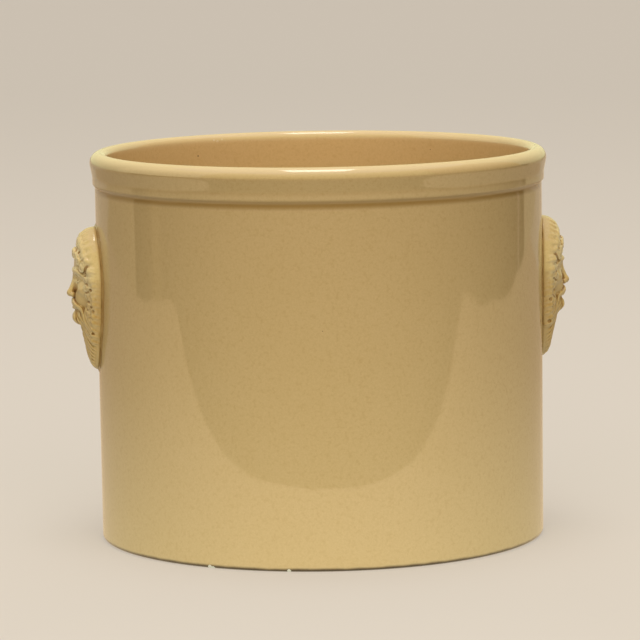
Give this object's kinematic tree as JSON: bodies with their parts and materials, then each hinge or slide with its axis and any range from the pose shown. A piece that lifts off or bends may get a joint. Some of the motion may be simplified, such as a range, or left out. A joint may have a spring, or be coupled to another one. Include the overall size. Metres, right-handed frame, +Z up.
{
  "type": "cachepot",
  "caption": "Straight-sided round glazed ceramic cachepot with a turned band at the rim and a bearded mask on each side, to hold a potted plant.",
  "frame": {"origin": "centre of the foot, on the plane the pot stands on", "axes": "+Z up along the pot's axis; the masks look along +X and -X; the plain side shown in the picture faces -Y"},
  "size_m": [0.2224, 0.2008, 0.171],
  "materials": {
    "glaze_body": "glossy cream-buff glaze over a fine-grained earthenware body",
    "glaze_floor": "glossy cream-buff glaze, pooled in the corner",
    "glaze_mask": "glossy cream glaze, thin on the highs and amber in the hollows",
    "fired_slip": "slip squeezed out under the mask, covered by pooled glaze"
  },
  "bodies": {
    "root": {"pot_wall": "glaze_body", "pot_floor": "glaze_floor", "seam_coil": "glaze_floor", "mask_right": "glaze_mask", "mask_left": "glaze_mask", "slip_bed_right": "fired_slip", "slip_bed_left": "fired_slip"}
  },
  "joints": []
}
